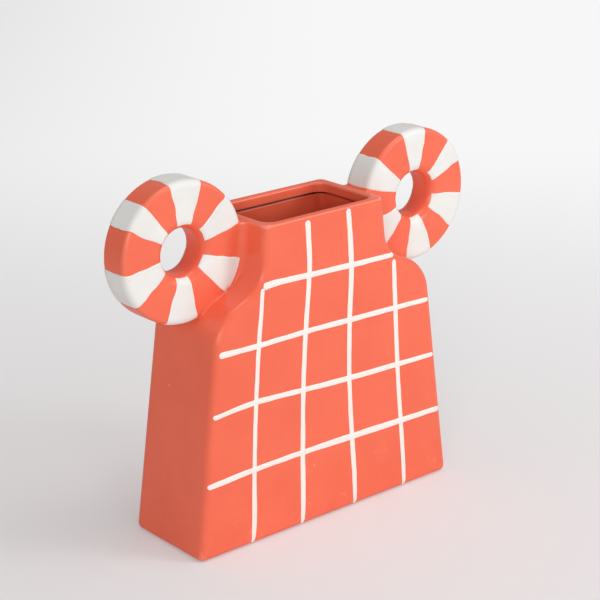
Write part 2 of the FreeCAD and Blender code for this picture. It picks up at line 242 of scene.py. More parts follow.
def body_outline(inset, low, high):
    """The corners of the right half of the outline from the foot up, between two heights."""
    line = [Vector((BASE_HALF, 0)), SHOULDER, NECK, Vector((RIM_HALF, RIM_HEIGHT))]
    shoulder = moved_in(line[0], line[1], line[2], inset)
    neck = moved_in(line[1], line[2], line[3], inset)
    side = (line[1] - line[0]) / (line[1].y - line[0].y)
    throat = (line[3] - line[2]) / (line[3].y - line[2].y)
    foot = shoulder + side * (low - shoulder.y)
    rim = neck + throat * (high - neck.y)
    return [foot, shoulder, neck, rim]


for corner in body_outline(WALL, FLOOR_THICKNESS, UNDER_LIP):
    print("inner corner", [round(v / MM, 2) for v in corner])

# %% [markdown]
# ## A slab
#
# The outline is drawn at the back, pulled to the front, and then each point moves towards the
# middle by how high it stands, because the broad faces lean in towards the rim. The shoulder and
# neck edges, which run from front to back, get their large rounds first. The rounds along the
# outline come after, so that they follow the curves.

# %% Slab
LEAN = (FOOT_HALF_DEPTH - RIM_HALF_DEPTH) / RIM_HEIGHT
CLOSE = MM / 10


def between(edge, low, high):
    """True for an edge whose ends both lie between two heights."""
    return all(low < vert.co.z < high for vert in edge.verts)


def across_at(mesh, height):
    """The edges that run from the front face to the back at a height."""
    found = []
    for edge in mesh.edges:
        first, second = (vert.co for vert in edge.verts)
        across = first.y * second.y < 0 and abs(first.x - second.x) < CLOSE
        if across and abs(first.z - height) < CLOSE:
            found.append(edge)
    return found


def slab(inset, low, high):
    """A solid with the body's outline, moved in by inset, with its shoulder and neck rounded."""
    mesh = bmesh.new()
    right = body_outline(inset, low, high)
    corners = [(point.x, point.y) for point in right]
    corners += [(-across, up) for across, up in reversed(corners)]
    depth = FOOT_HALF_DEPTH - inset
    face = face_of(mesh, [(across, depth, up) for across, up in corners])
    extruded(mesh, face, (0, -2 * depth, 0))
    for vert in mesh.verts:
        vert.co.y -= math.copysign(LEAN * vert.co.z, vert.co.y)
    _, shoulder, neck, _ = right
    rounded(mesh, across_at(mesh, shoulder.y), SHOULDER_RADIUS - inset)
    rounded(mesh, across_at(mesh, neck.y), NECK_RADIUS + inset)
    return mesh


print("each broad face leans in by", round(LEAN * RIM_HEIGHT / MM, 2), "mm")

# %% [markdown]
# ## The cast body
#
# A cast vase is an even wall round a hollow, with a thicker lip at the mouth. The outside and the
# hollow are two slabs. The mouth is a straight block with rounded corners, and so is the shallow
# groove under the lip. The Boolean modifier takes the last three away from the first. A modifier
# is applied here as soon as it has done its work, so that what follows starts from plain mesh.

# %% Body
OUTLINE_SEGMENTS = 6
FOOT_SEGMENTS = 5
INNER_SEGMENTS = 4
MOUTH_SEGMENTS = 6
BROAD_NORMAL = 0.9
FAR_UP = 1


def on_outline(edge):
    """True for an edge between a broad face, whose normal points forwards or back, and another."""
    broad = [abs(face.normal.y) > BROAD_NORMAL for face in edge.link_faces]
    return len(broad) == 2 and broad[0] != broad[1]


def outside_of_body():
    """The outer slab with its outline and its foot rounded."""
    mesh = slab(0, 0, RIM_HEIGHT)
    mesh.normal_update()
    edges = [edge for edge in mesh.edges if on_outline(edge) and not between(edge, -MM, MM)]
    outline = [edge for edge in edges if not between(edge, RIM_HEIGHT - MM, FAR_UP)]
    bevelled(mesh, outline, OUTLINE_RADIUS, OUTLINE_SEGMENTS)
    foot = [edge for edge in mesh.edges if between(edge, -MM, CLOSE)]
    bevelled(mesh, foot, FOOT_RADIUS, FOOT_SEGMENTS)
    return finished_object(mesh, "outside_of_body")


def hollow_of_body():
    """The hollow, up to the underside of the lip, with soft inner corners."""
    mesh = slab(WALL, FLOOR_THICKNESS, UNDER_LIP)
    mesh.normal_update()
    edges = [edge for edge in mesh.edges if on_outline(edge)]
    inner = [edge for edge in edges if not between(edge, UNDER_LIP - MM, FAR_UP)]
    bevelled(mesh, inner, INNER_RADIUS, INNER_SEGMENTS)
    return finished_object(mesh, "hollow_of_body")


def mouth_block(wall, low, high):
    """An upright block with rounded corners, a wall's thickness smaller than the rim all round."""
    mesh = bmesh.new()
    width = RIM_HALF - wall
    depth = RIM_HALF_DEPTH - wall
    corners = [(-width, -depth), (width, -depth), (width, depth), (-width, depth)]
    face = face_of(mesh, [(across, along, low) for across, along in corners])
    extruded(mesh, face, (0, 0, high - low))
    upright = [edge for edge in mesh.edges if abs(edge.verts[0].co.z - edge.verts[1].co.z) > MM]
    rounded(mesh, upright, MOUTH_CORNER_RADIUS, MOUTH_SEGMENTS)
    return finished_object(mesh, "mouth_block")


def applied(thing):
    """Applies all the modifiers of an object to its mesh."""
    graph = bpy.context.evaluated_depsgraph_get()
    graph.update()
    data = bpy.data.meshes.new_from_object(thing.evaluated_get(graph))
    thing.modifiers.clear()
    old = thing.data
    thing.data = data
    bpy.data.meshes.remove(old)


def cut(thing, tool):
    """Cuts a tool from an object, and then deletes the tool."""
    modifier = thing.modifiers.new("cut", "BOOLEAN")
    modifier.operation = "DIFFERENCE"
    modifier.solver = "EXACT"
    modifier.object = tool
    applied(thing)
    bpy.data.objects.remove(tool)


body = outside_of_body()
cut(body, hollow_of_body())
cut(body, mouth_block(LIP_THICKNESS, UNDER_LIP - LIP_HEIGHT, RIM_HEIGHT + LIP_HEIGHT))
cut(body, mouth_block(WALL - GROOVE_DEPTH, UNDER_LIP - GROOVE_HEIGHT, UNDER_LIP))
print("body:", len(body.data.polygons), "faces")

# %% [markdown]
# ## The rim
#
# The rim is rounded on both sides by one more bevel. The Boolean modifier leaves the mouth's edges
# as plain edge loops at the height of the rim, so they are easy to find by their height. Points
# that lie on top of each other are welded first.

# %% Rim
RIM_SEGMENTS = 4
SHARP_TURN = 1
WELD = MM / 100


def is_rim(edge):
    """True for an edge at the height of the rim that turns by more than a radian."""
    at_top = between(edge, RIM_HEIGHT - CLOSE, RIM_HEIGHT + MM)
    return at_top and len(edge.link_faces) == 2 and edge.calc_face_angle() > SHARP_TURN


def round_rim(thing):
    """Softens the inner and outer edge of the rim."""
    mesh = bmesh.new()
    mesh.from_mesh(thing.data)
    bmesh.ops.remove_doubles(mesh, verts=mesh.verts, dist=WELD)
    rim = [edge for edge in mesh.edges if is_rim(edge)]
    print("rim:", len(rim), "edges rounded")
    bevelled(mesh, rim, RIM_RADIUS, RIM_SEGMENTS)
    mesh.to_mesh(thing.data)
    mesh.free()


round_rim(body)

# %% [markdown]
# ## A ring handle
#
# A ring is a turned form: the rounded rectangle of its section swept once round an axis from front
# to back. The four corners of the section are rounded while it is still flat, with a bevel of its
# corners, and spin does the sweep. The two ends of a full spin meet, so use_merge welds them.

# %% Ring
RING_STEPS = 96
LEVEL_NORMAL = 0.99


def section_face(mesh):
    """The section of a ring, as a level face at the right of the ring's middle."""
    inner = RING_CENTRE.x + HOLE_RADIUS
    outer = RING_CENTRE.x + RING_RADIUS
    half = RING_HALF_THICKNESS
    corners = [(inner, -half), (outer, -half), (outer, half), (inner, half)]
    face_of(mesh, [(across, along, RING_CENTRE.z) for across, along in corners])
    for wanted, radius in ((outer, RING_EDGE_RADIUS), (inner, HOLE_EDGE_RADIUS)):
        verts = [vert for vert in mesh.verts if abs(vert.co.x - wanted) < WELD]
        bevelled(mesh, verts, radius, ROUND_SEGMENTS, "VERTICES")


def ring_disc():
    """A whole ring, turned round its axis, without the section that the sweep started from."""
    mesh = bmesh.new()
    section_face(mesh)
    section = mesh.verts[:] + mesh.edges[:] + mesh.faces[:]
    bmesh.ops.spin(
        mesh,
        geom=section,
        cent=RING_CENTRE,
        axis=(0, 1, 0),
        dvec=(0, 0, 0),
        angle=math.tau,
        steps=RING_STEPS,
        use_merge=True,
        use_duplicate=False,
    )
    level = [face for face in mesh.faces if abs(face.normal.z) > LEVEL_NORMAL]
    inside = [face for face in level if len(face.verts) > 4]
    bmesh.ops.delete(mesh, geom=inside, context="FACES_ONLY")
    bmesh.ops.remove_doubles(mesh, verts=mesh.verts, dist=WELD)
    bmesh.ops.recalc_face_normals(mesh, faces=mesh.faces)
    return finished_object(mesh, "ring_disc")


ring = ring_disc()
print("ring:", len(ring.data.polygons), "faces")

# %% [markdown]
# ## The root of a ring
#
# The ring doesn't merely touch the neck. A web of clay fills the gap between them, flush with the
# faces of the ring, and flares out where it meets the neck, as a finger leaves it when it smooths
# the seam. Its plan is a letter T, with the bar inside the wall of the neck. The two inner corners
# of the T get the flare, and then the whole web leans with the neck.

# %% Root
def ring_root():
    """The web between the right ring and the neck, from near the rim down into the shoulder."""
    mesh = bmesh.new()
    top = RIM_HEIGHT - ROOT_DROP
    bottom = (SHOULDER.y + NECK.y) / 2
    half = RING_HALF_THICKNESS
    bar = half + 2 * ROOT_FLARE
    lower = [(-WALL, -bar), (0, -bar), (0, -half), (ROOT_REACH, -half)]
    plan = lower + [(across, -along) for across, along in reversed(lower)]
    face = face_of(mesh, [(across, along, top) for across, along in plan])
    extruded(mesh, face, (0, 0, bottom - top))
    inner = [
        edge
        for edge in mesh.edges
        if all(abs(vert.co.x) < CLOSE and abs(abs(vert.co.y) - half) < CLOSE for vert in edge.verts)
    ]
    rounded(mesh, inner, ROOT_FLARE)
    slope = (NECK.x - RIM_HALF) / (RIM_HEIGHT - NECK.y)
    for vert in mesh.verts:
        vert.co.x += RIM_HALF + slope * (RIM_HEIGHT - vert.co.z)
    return finished_object(mesh, "ring_root")


root = ring_root()
print("root:", len(root.data.polygons), "faces")

# %% [markdown]
# ## Joining the clay
#
# The potter joins rings and body with wet slip and strokes the seams smooth. The voxel remesh does
# the same: it reads where there is clay and where there is none, and wraps one new skin round it
# all. A few steps of smoothing then soften the seams, as a wet sponge does. The new skin has small
# faces everywhere, so Decimate takes most of them out of the flat places, where they add nothing.

# %% Clay
VOXEL = 0.7 * MM
SPONGE_STRENGTH = 0.5
SPONGE_STROKES = 2
MOST_TRIANGLES = 190000


def mirrored_copy(thing, name):
    """The same piece at the other side of the vase, with its faces still outwards."""
    mesh = bmesh.new()
    mesh.from_mesh(thing.data)
    bmesh.ops.scale(mesh, verts=mesh.verts, vec=(-1, 1, 1))
    bmesh.ops.reverse_faces(mesh, faces=mesh.faces)
    return finished_object(mesh, name)


def joined(things, name):
    """Puts the meshes of several objects into one object."""
    mesh = bmesh.new()
    for thing in things:
        mesh.from_mesh(thing.data)
        bpy.data.objects.remove(thing)
    return finished_object(mesh, name)


def one_skin(thing, voxel):
    """Wraps one skin round all the clay and softens it."""
    remesh = thing.modifiers.new("one_skin", "REMESH")
    remesh.mode = "VOXEL"
    remesh.voxel_size = voxel
    remesh.use_smooth_shade = True
    sponge = thing.modifiers.new("sponge", "SMOOTH")
    sponge.factor = SPONGE_STRENGTH
    sponge.iterations = SPONGE_STROKES
    applied(thing)
    triangles = 2 * len(thing.data.polygons)
    if triangles > MOST_TRIANGLES:
        thin = thing.modifiers.new("thin", "DECIMATE")
        thin.ratio = MOST_TRIANGLES / triangles
        applied(thing)
    print(thing.name, "had", triangles, "triangles and has", len(thing.data.polygons), "faces")


left_ring = mirrored_copy(ring, "left_ring_disc")
left_root = mirrored_copy(root, "left_root")
clay = joined([body, ring, root, left_ring, left_root], "clay_vase")
one_skin(clay, VOXEL)
clay.data.shade_smooth()
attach(clay, "root")
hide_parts("vase_body", "left_ring", "right_ring")

# %% [markdown]
# ## Lighter edges, and painted shade under the lip
#
# Glaze draws back from every outer edge while it melts, so an edge fires lighter than the faces
# beside it. The lighter tint on the edges here is partly that thin glaze and partly a painted
# highlight. The sharp hollow under the lip gets a painted shade, a near black tint where the lip's
# shadow falls. How sharp the clay is at a point can be measured: where the surface bulges, the
# neighbours of a vertex lie behind it, and where it is hollow they lie in front. That number is
# spread a little over the neighbours and kept on the mesh as two attributes, for the finish to
# read.

# %% Lighter edges and painted shade under the lip
GLAZE_SPREAD = 2
# Where the edge tint, partly thin glaze and partly painted highlight, starts and is full.
THIN_HIGHLIGHT_FROM = 0.14 / MM
THIN_HIGHLIGHT_FULL = 0.34 / MM
# Where the painted shade in the groove under the lip starts and is full.
GROOVE_SHADE_FROM = 0.06 / MM
GROOVE_SHADE_FULL = 0.25 / MM


def bulges_of(thing):
    """How much the surface bulges at each vertex, in radians per metre. Hollows are negative."""
    mesh = bmesh.new()
    mesh.from_mesh(thing.data)
    mesh.normal_update()
    mesh.verts.ensure_lookup_table()
    near = [[edge.other_vert(vert).index for edge in vert.link_edges] for vert in mesh.verts]
    values = []
    for vert, others in zip(mesh.verts, near):
        bulge = 0
        for other in others:
            step = mesh.verts[other].co - vert.co
            bulge -= 2 * step.dot(vert.normal) / step.length_squared
        values.append(bulge / len(others))
    mesh.free()
    for _ in range(GLAZE_SPREAD):
        values = [
            (value + sum(values[other] for other in others)) / (1 + len(others))
            for value, others in zip(values, near)
        ]
    return values


def keep(thing, name, values, start, full):
    """Writes values as an attribute that runs from 0 at start to 1 at full."""
    attribute = thing.data.attributes.new(name, "FLOAT", "POINT")
    shares = [min(max((value - start) / (full - start), 0), 1) for value in values]
    attribute.data.foreach_set("value", shares)
    print(name, "covers", round(100 * sum(shares) / len(shares), 1), "percent")


def groove_shade_of(thing, bulges):
    """How hollow the groove under the lip is at each vertex, for its painted shade; 0 elsewhere."""
    shade_depths = []
    for vert, bulge in zip(thing.data.vertices, bulges):
        inside = abs(vert.co.x) < RIM_HALF - MM and abs(vert.co.y) < RIM_HALF_DEPTH - MM
        in_groove = inside and -GROOVE_HEIGHT < vert.co.z - UNDER_LIP < MM
        shade_depths.append(-bulge if in_groove else 0)
    return shade_depths


bulges = bulges_of(clay)
# Lighter edges: partly thin glaze, partly a painted highlight.
keep(clay, "thin_glaze_and_highlight", bulges, THIN_HIGHLIGHT_FROM, THIN_HIGHLIGHT_FULL)
# Painted shade: a near black tint in the groove, where the lip's shadow falls.
keep(clay, "painted_groove_shade", groove_shade_of(clay, bulges), GROOVE_SHADE_FROM, GROOVE_SHADE_FULL)

# %% [markdown]
# ## One brush mark
#
# Every white mark is made by one function. A grid is laid along the mark by a rule that says where
# each point of it goes, and Shrinkwrap drops it onto the clay. Then the middle rises and the edge
# sinks a hair into the clay, because thick slip stands a little proud with a soft edge. Solidify
# closes the mark underneath. The grid's points crowd towards its edges, where the slip curves
# most. The edges waver a little, by a noise that has a seed of its own for each edge.

# %% Brush mark
SLIP_SINK = 0.06 * MM
SLIP_DEPTH = 0.4 * MM
SOFT_EDGE = 0.7 * MM
AWAY = 30 * MM
WOBBLE_LENGTH = 7 * MM
SEED_STEP = 3.7


def wobble(where, seed, size):
    """A small, slow unevenness of a hand-drawn edge. Where is in metres along the edge."""
    return size * noise.noise(Vector((where / WOBBLE_LENGTH, seed * SEED_STEP, 0.5)))


def crowd(value):
    """Moves evenly spaced values from 0 to 1 towards both ends."""
    return (1 - math.cos(math.pi * value)) / 2


def raise_middle(mark, edge_distance, peak):
    """Turns a mark's faces outwards, raises its middle and sinks its edge."""
    mesh = bmesh.new()
    mesh.from_mesh(mark.data)
    mesh.normal_update()
    facing = sum(vert.normal.y * math.copysign(1, vert.co.y) for vert in mesh.verts)
    if facing < 0:
        bmesh.ops.reverse_faces(mesh, faces=mesh.faces)
        mesh.normal_update()
    lift = []
    for vert, distance in zip(mesh.verts, edge_distance):
        inwards = 1 - min(distance / SOFT_EDGE, 1)
        lift.append(vert.normal * (peak * (1 - inwards**2) - SLIP_SINK))
    for vert, step in zip(mesh.verts, lift):
        vert.co += step
    mesh.to_mesh(mark.data)
    mesh.free()


def brush_mark(name, place, steps, project, peak):
    """Lays a mark on the clay. Place gives a point and its distance from the mark's edge.

    Project is 1 to drop the mark straight back, -1 straight forwards and 0 to the nearest clay.
    """
    mesh = bmesh.new()
    bmesh.ops.create_grid(mesh, x_segments=steps[0], y_segments=steps[1], size=1)
    edge_distance = []
    for vert in mesh.verts:
        vert.co, distance = place(crowd((vert.co.x + 1) / 2), crowd((vert.co.y + 1) / 2))
        edge_distance.append(distance)
    mark = finished_object(mesh, name + "_slip")
    wrap = mark.modifiers.new("onto_the_clay", "SHRINKWRAP")
    wrap.target = clay
    if project:
        wrap.wrap_method = "PROJECT"
        wrap.use_project_y = True
        wrap.use_positive_direction = project > 0
        wrap.use_negative_direction = project < 0
    applied(mark)
    raise_middle(mark, edge_distance, peak)
    thicken = mark.modifiers.new("slip", "SOLIDIFY")
    thicken.thickness = SLIP_DEPTH
    thicken.offset = -1
    applied(mark)
    mark.data.shade_smooth()
    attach(mark, "root")
    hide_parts(name)
    return mark


# %% [markdown]
# ## The grid
#
# Four strokes run across the front face and four run down it. Each is a few points that the brush
# passes through, with its width at each, and a smooth curve leads from one to the next. A stroke
# starts and ends round, and the upright ones thin out at the foot. The back face has the same
# strokes, turned about the upright axis.

# %% Strokes
STROKE_WIDTH = 3.7 * MM
STROKE_PEAKS = {"cross": 0.4 * MM, "upright": 0.28 * MM}
STROKE_GRID = (130, 10)
STROKE_WOBBLE = 0.2 * MM
SIDE_SEED = 0.5

# Each point of a stroke has its place across and up, in millimetres, and its share of the width.
CROSS_STROKES = [
    [(-48.2, 155.8, 1.25), (-38, 156.4, 1.1), (-13.7, 155.6, 0.95), (18.8, 154.6, 0.95),
     (53.3, 153.8, 0.8)],
    [(-81.2, 122.6, 1.05), (-52.8, 121.9, 0.9), (-17.4, 121.9, 0.9), (17.0, 121.0, 0.95),
     (81.7, 119.2, 0.85)],
    [(-86.8, 86.6, 0.8), (-78, 87.2, 0.8), (-55.6, 88.3, 0.95), (-20.1, 86.3, 0.9),
     (16.3, 84.4, 1.0), (86.3, 82.1, 0.85)],
    [(-92.4, 45.5, 0.8), (-84, 46.0, 1.0), (-58.3, 47.0, 0.95), (-20.8, 47.1, 0.9),
     (17.5, 46.3, 1.15), (91.6, 44.6, 0.95)],
]
UPRIGHT_STROKES = [
    [(-48.6, 155.2, 0.75), (-50.6, 138, 0.85), (-52.8, 119.9, 0.9), (-56.0, 85.2, 0.85),
     (-58.3, 46.5, 0.9), (-59.1, 20.7, 1.0), (-60.2, 6, 0.85), (-61.0, 0.6, 0.5)],
    [(-14.4, 188.3, 1.1), (-13.7, 159.5, 1.0), (-17.4, 121.9, 0.95), (-20.1, 86.3, 0.95),
     (-21.3, 46.6, 1.0), (-21.6, 20.9, 1.05), (-22.1, 6, 0.9), (-22.6, 0.8, 0.5)],
    [(16.9, 189.3, 1.0), (18.8, 154.6, 1.1), (17.0, 120.0, 1.0), (16.3, 85.3, 0.95),
     (18.0, 45.8, 1.0), (19.6, 21.1, 1.0), (20.0, 6, 0.85), (19.8, 1.0, 0.5)],
    [(53.1, 150.8, 0.9), (54.3, 120.0, 1.0), (56.0, 81.5, 0.95), (58.7, 45.0, 0.95),
     (60.6, 21.3, 0.95), (61.4, 6, 0.85), (61.4, 0.6, 0.5)],
]


def through(points, share):
    """A point on the smooth curve through a list of points, and the curve's direction there."""
    spans = len(points) - 1
    span = min(int(share * spans), spans - 1)
    step = share * spans - span
    start, finish = points[span], points[span + 1]
    before = points[span - 1] if span > 0 else start * 2 - finish
    after = points[span + 2] if span + 2 < len(points) else finish * 2 - start
    square, cube = step**2, step**3
    place = (
        before * (-cube + 2 * square - step)
        + start * (3 * cube - 5 * square + 2)
        + finish * (-3 * cube + 4 * square + step)
        + after * (cube - square)
    ) / 2
    return place, (finish - start)


def stroke_rule(points, seed, turn):
    """The rule that lays a grid along one stroke of the brush. Turn is 1 in front, -1 behind."""
    knots = [Vector((across * MM, up * MM, width)) for across, up, width in points]
    lengths = [(second - first).xy.length for first, second in zip(knots, knots[1:])]
    length = sum(lengths)

    def place(along, across):
        distance = along * length
        span = 0
        while span < len(lengths) - 1 and distance > lengths[span]:
            distance -= lengths[span]
            span += 1
        share = (span + min(distance / lengths[span], 1)) / len(lengths)
        middle, direction = through(knots, share)
        half = middle.z * STROKE_WIDTH / 2
        from_end = min(along, 1 - along) * length
        shut = 1 - min(from_end / (STROKE_WIDTH / 2), 1)
        half *= math.sqrt(max(0, 1 - shut**2))
        side = 2 * across - 1
        side_seed = seed + math.copysign(SIDE_SEED, side)
        edge = half + wobble(along * length, side_seed, STROKE_WOBBLE) * (1 - shut)
        sideways = Vector((-direction.y, direction.x)).normalized() * side * edge
        in_front = -turn * (FOOT_HALF_DEPTH + AWAY)
        point = (turn * (middle.x + sideways.x), in_front, middle.y + sideways.y)
        return point, edge * (1 - abs(side))

    return place


grid_lines = []
for face, turn in (("front", 1), ("back", -1)):
    for kind, strokes in (("cross", CROSS_STROKES), ("upright", UPRIGHT_STROKES)):
        for number, points in enumerate(strokes, 1):
            rule = stroke_rule(points, number + len(kind), turn)
            name = f"{face}_{kind}_stroke_{number}"
            grid_lines.append(brush_mark(name, rule, STROKE_GRID, turn, STROKE_PEAKS[kind]))
print(len(grid_lines), "strokes laid")

# %% [markdown]
# ## The stripes of the rings
#
# Most stripes start at the hole, run out over the front of the ring, across its rim and back to
# the hole behind. Their rule follows the rounded section of the ring. The two stripes that meet
# the root and the shoulder have no rim to go over, so they end at the edge of the ring, once in
# front and once at the back.

# %% Stripes
STRIPE_PEAK = 0.36 * MM
STRIPE_GRID = (90, 24)
HALF_STRIPE_GRID = (40, 24)
END_WOBBLE = 0.9 * MM
SIDE_WOBBLE = 0.8 * MM
END_SEED = 0.3
CREASE = 1.5 * MM
RUN_STEP = MM / 4
TOWARDS_BODY = 0.5
FLAT_START = HOLE_RADIUS + HOLE_EDGE_RADIUS
FLAT_RUN = RING_RADIUS - RING_EDGE_RADIUS - FLAT_START
QUARTER = RING_EDGE_RADIUS * math.pi / 2
RIM_RUN = 2 * (RING_HALF_THICKNESS - RING_EDGE_RADIUS)
HALF_RUN = FLAT_RUN + QUARTER + RIM_RUN / 2

# Each stripe starts and ends at an angle, in degrees, and reaches some millimetres into the hole.
LEFT_STRIPES = [
    (71, 102, 3.9),
    (14, 43, 4.4),
    (-46, -15, 5.0),
    (-109, -78, 5.8),
    (-173, -142, 4.6),
    (129, 152, 3.7),
]
RIGHT_STRIPES = [
    (79, 106, 4.1),
    (23, 47, 3.9),
    (-40, -8, 4.4),
    (-101, -69, 5.7),
    (-164, -132, 5.0),
    (138, 165, 3.9),
]


def on_section(distance):
    """Distance out from the axis and along it, for a distance out from where the flat starts."""
    if distance > HALF_RUN:
        out, along = on_section(2 * HALF_RUN - distance)
        return out, -along
    if distance < 0:
        turned = distance / HOLE_EDGE_RADIUS
        out = FLAT_START + HOLE_EDGE_RADIUS * math.sin(turned)
        return out, -RING_HALF_THICKNESS + HOLE_EDGE_RADIUS * (1 - math.cos(turned))
    if distance < FLAT_RUN:
        return FLAT_START + distance, -RING_HALF_THICKNESS
    turned = min((distance - FLAT_RUN) / RING_EDGE_RADIUS, math.pi / 2)
    out = RING_RADIUS - RING_EDGE_RADIUS * (1 - math.sin(turned))
    along = -RING_HALF_THICKNESS + RING_EDGE_RADIUS * (1 - math.cos(turned))
    return out, along + max(distance - FLAT_RUN - QUARTER, 0)


def free_run(point_at, away):
    """How far out a stripe can run on the flat of a ring before the body rises beside it."""
    run = RING_RADIUS - FLAT_START
    while run > 0:
        point = point_at(FLAT_START + run)
        start = Vector((point.x, away * (RING_HALF_THICKNESS + AWAY), point.z))
        hit, landed, *_ = clay.ray_cast(start, (0, -away, 0))
        if hit and away * landed.y < RING_HALF_THICKNESS + CREASE:
            break
        run -= RUN_STEP
    return run


def stripe_rule(side, stripe, seed, away):
    """The rule that lays a grid over a stripe.

    Away is 0 to go round the rim. For a stripe that ends at the body it is -1 for the front half
    and 1 for the back half.
    """
    start, finish = (math.radians(angle) for angle in stripe[:2])
    reach = stripe[2] * MM
    middle = (start + finish) / 2
    half_angle = (finish - start) / 2
    runs = {}

    def at_angle(angle, out, along):
        across = side * RING_CENTRE.x + out * math.cos(angle)
        return Vector((across, along, RING_CENTRE.z + out * math.sin(angle)))

    def place(along, across):
        turned = 2 * across - 1
        angle = middle + turned * half_angle
        ragged = wobble(turned * half_angle * HOLE_RADIUS, seed + END_SEED, END_WOBBLE) - reach
        if away and across not in runs:
            runs[across] = free_run(lambda out: at_angle(angle, out, 0), away)
        last = runs[across] if away else 2 * HALF_RUN - ragged
        distance = ragged + along * (last - ragged)
        out, forwards = on_section(distance)
        if away:
            out = FLAT_START + distance if distance > 0 else out
            forwards = -away * forwards
        from_end = min(distance - ragged, last - distance)
        edge = wobble(from_end, seed + math.copysign(SIDE_SEED, turned), SIDE_WOBBLE)
        from_side = (1 - abs(turned)) * half_angle * out
        return at_angle(angle + turned * edge / out, out, forwards), min(from_side, from_end)

    return place


def joined_mark(marks, name):
    """Joins the front and back part of a stripe into one mark."""
    mesh = bmesh.new()
    for mark in marks:
        mesh.from_mesh(mark.data)
        bpy.data.objects.remove(mark)
    mark = finished_object(mesh, name + "_slip")
    mark.data.shade_smooth()
    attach(mark, "root")
    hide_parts(name)
    return mark


def meets_body(side, stripe):
    """True for a stripe that points down towards the body, where the ring has no free rim."""
    middle = math.radians(sum(stripe[:2]) / 2)
    return side * math.cos(middle) < -TOWARDS_BODY and math.sin(middle) < 0


def ring_stripe(name, side, stripe, seed):
    """One stripe of a ring, over the rim or in two halves."""
    if not meets_body(side, stripe):
        return brush_mark(name, stripe_rule(side, stripe, seed, 0), STRIPE_GRID, 0, STRIPE_PEAK)
    halves = []
    for away in (-1, 1):
        rule = stripe_rule(side, stripe, seed, away)
        halves.append(brush_mark(name, rule, HALF_STRIPE_GRID, 0, STRIPE_PEAK))
    return joined_mark(halves, name)


ring_stripes = []
for side, ring_name, stripes in ((-1, "left_ring", LEFT_STRIPES), (1, "right_ring", RIGHT_STRIPES)):
    for number, stripe in enumerate(stripes, 1):
        name = f"{ring_name}_stripe_{number}"
        ring_stripes.append(ring_stripe(name, side, stripe, 10 * number + side))
print(len(ring_stripes), "stripes laid")

# %% [markdown]
# ## Nodes for the finishes
#
# A material is a tree of nodes. Most of them need a setting or two and a few inputs, and an input
# is either a plain number or colour, or the output of another node. One function takes both, and
# two short ones stand on it for sums and for moving a value from one range into another.

# %% Helpers for nodes
def feed(tree, node, inputs):
    """Gives each input of a node the output of another node, or else a plain number or colour."""
    for socket, value in inputs.items():
        if isinstance(value, bpy.types.NodeSocket):
            tree.links.new(value, node.inputs[socket])
        else:
            node.inputs[socket].default_value = value


def add_node(tree, kind, inputs, **settings):
    """Adds a node, makes its settings and feeds it."""
    node = tree.nodes.new(kind)
    for setting, value in settings.items():
        setattr(node, setting, value)
    feed(tree, node, inputs)
    return node


def maths(tree, operation, *values):
    """The output of a Math node, which works on numbers and on the outputs of other nodes."""
    inputs = dict(enumerate(values))
    return add_node(tree, "ShaderNodeMath", inputs, operation=operation).outputs[0]


def mapped(tree, value, low, high, to_low=0, to_high=1, curve="LINEAR"):
    """Runs from to_low to to_high while a value runs from low to high."""
    ends = {"From Min": low, "From Max": high, "To Min": to_low, "To Max": to_high}
    inputs = {"Value": value, **ends}
    return add_node(tree, "ShaderNodeMapRange", inputs, interpolation_type=curve).outputs["Result"]


# %% [markdown]
# ## The fired surface
#
# Both finishes are fired, matt and a little uneven. What they share is a node group: slow clouds
# of tone where the glaze lies thicker or thinner, a fine grain that breaks up the highlights, the
# odd speck, and small scuffs near the foot. Specks come from a texture of cells. Each cell has a
# distance from its middle, which makes a dot, and a colour of its own. Only the cells whose red is
# very low keep their dot.

# %% Fired surface group
CLOUD_LOOK = {"Detail": 3, "Roughness": 0.55}
GRAIN_LOOK = {"Detail": 4}
SPECK_RADIUS = 0.16
SCUFF_SIZE = 170
SCUFF_LOOK = {"Detail": 5, "Distortion": 1.5}
SCUFF_FROM = 0.62
SCUFF_FULL = 0.72
SCUFFS_END = 50 * MM
SCUFFS_FULL = 5 * MM


def textured(tree, kind, place, size, look):
    """The outputs of a texture that lies still on the object."""
    return add_node(tree, kind, {"Vector": place, "Scale": size, **look}).outputs


def scuffs(tree, place):
    """Small torn patches, only near the foot."""
    torn = textured(tree, "ShaderNodeTexNoise", place, SCUFF_SIZE, SCUFF_LOOK)
    patch = mapped(tree, torn["Fac"], SCUFF_FROM, SCUFF_FULL)
    height = add_node(tree, "ShaderNodeSeparateXYZ", {"Vector": place}).outputs["Z"]
    return maths(tree, "MULTIPLY", patch, mapped(tree, height, SCUFFS_END, SCUFFS_FULL))


